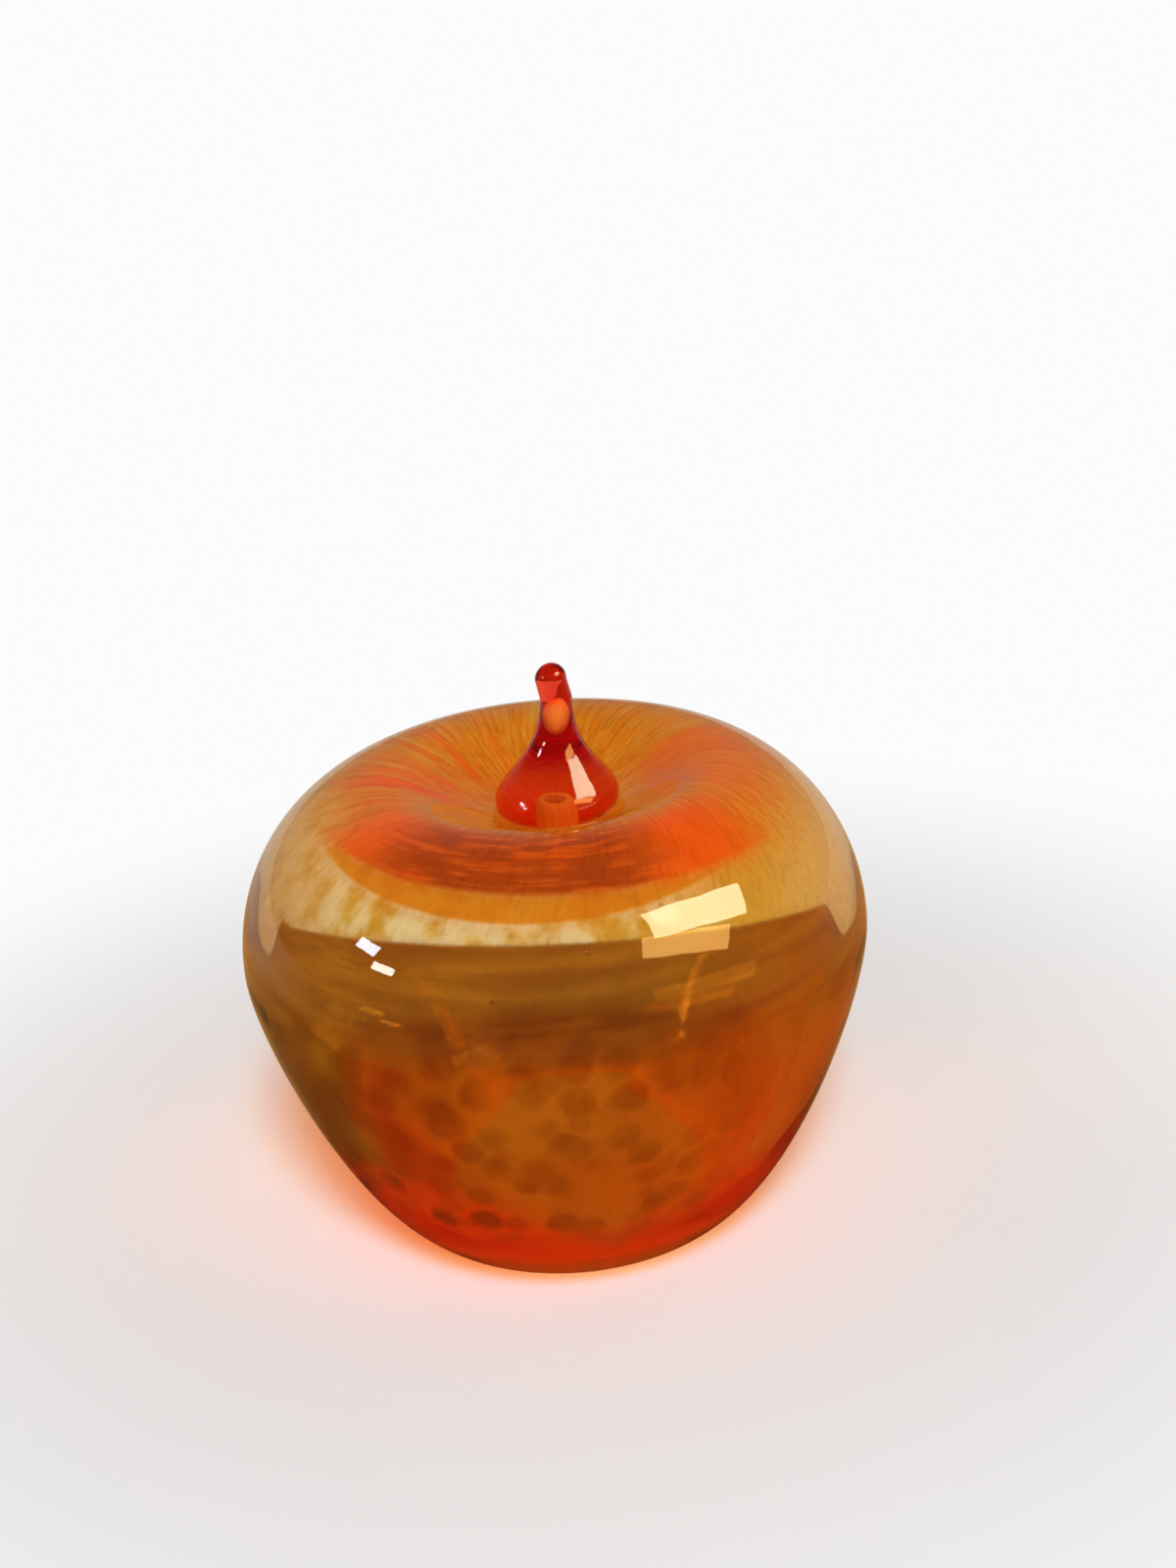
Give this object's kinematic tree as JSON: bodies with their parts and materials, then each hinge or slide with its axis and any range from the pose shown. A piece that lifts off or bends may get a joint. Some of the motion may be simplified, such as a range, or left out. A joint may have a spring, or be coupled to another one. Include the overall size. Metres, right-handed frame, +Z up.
{
  "type": "art glass apple",
  "caption": "Hand-blown hollow apple of cased amber glass with a dimpled top, a flat base to stand on and an applied pulled stem.",
  "frame": {"origin": "centre of the flat base that the apple stands on", "axes": "+Z up the apple, +X the way the stem leans, -Y the side that the picture shows"},
  "size_m": [0.1, 0.1, 0.0939],
  "materials": {
    "casing_glass": "fire-polished clear glass with an amber cast",
    "overlay_glass": "streaked and mottled amber, gold and red-orange colour layer",
    "bubble_glass": "smooth amber glass",
    "stem_glass": "clear red-orange glass, fire-polished"
  },
  "bodies": {
    "root": {"clear_casing": "casing_glass", "colour_overlay": "overlay_glass", "inner_bubble": "bubble_glass", "stem": "stem_glass"}
  },
  "joints": []
}
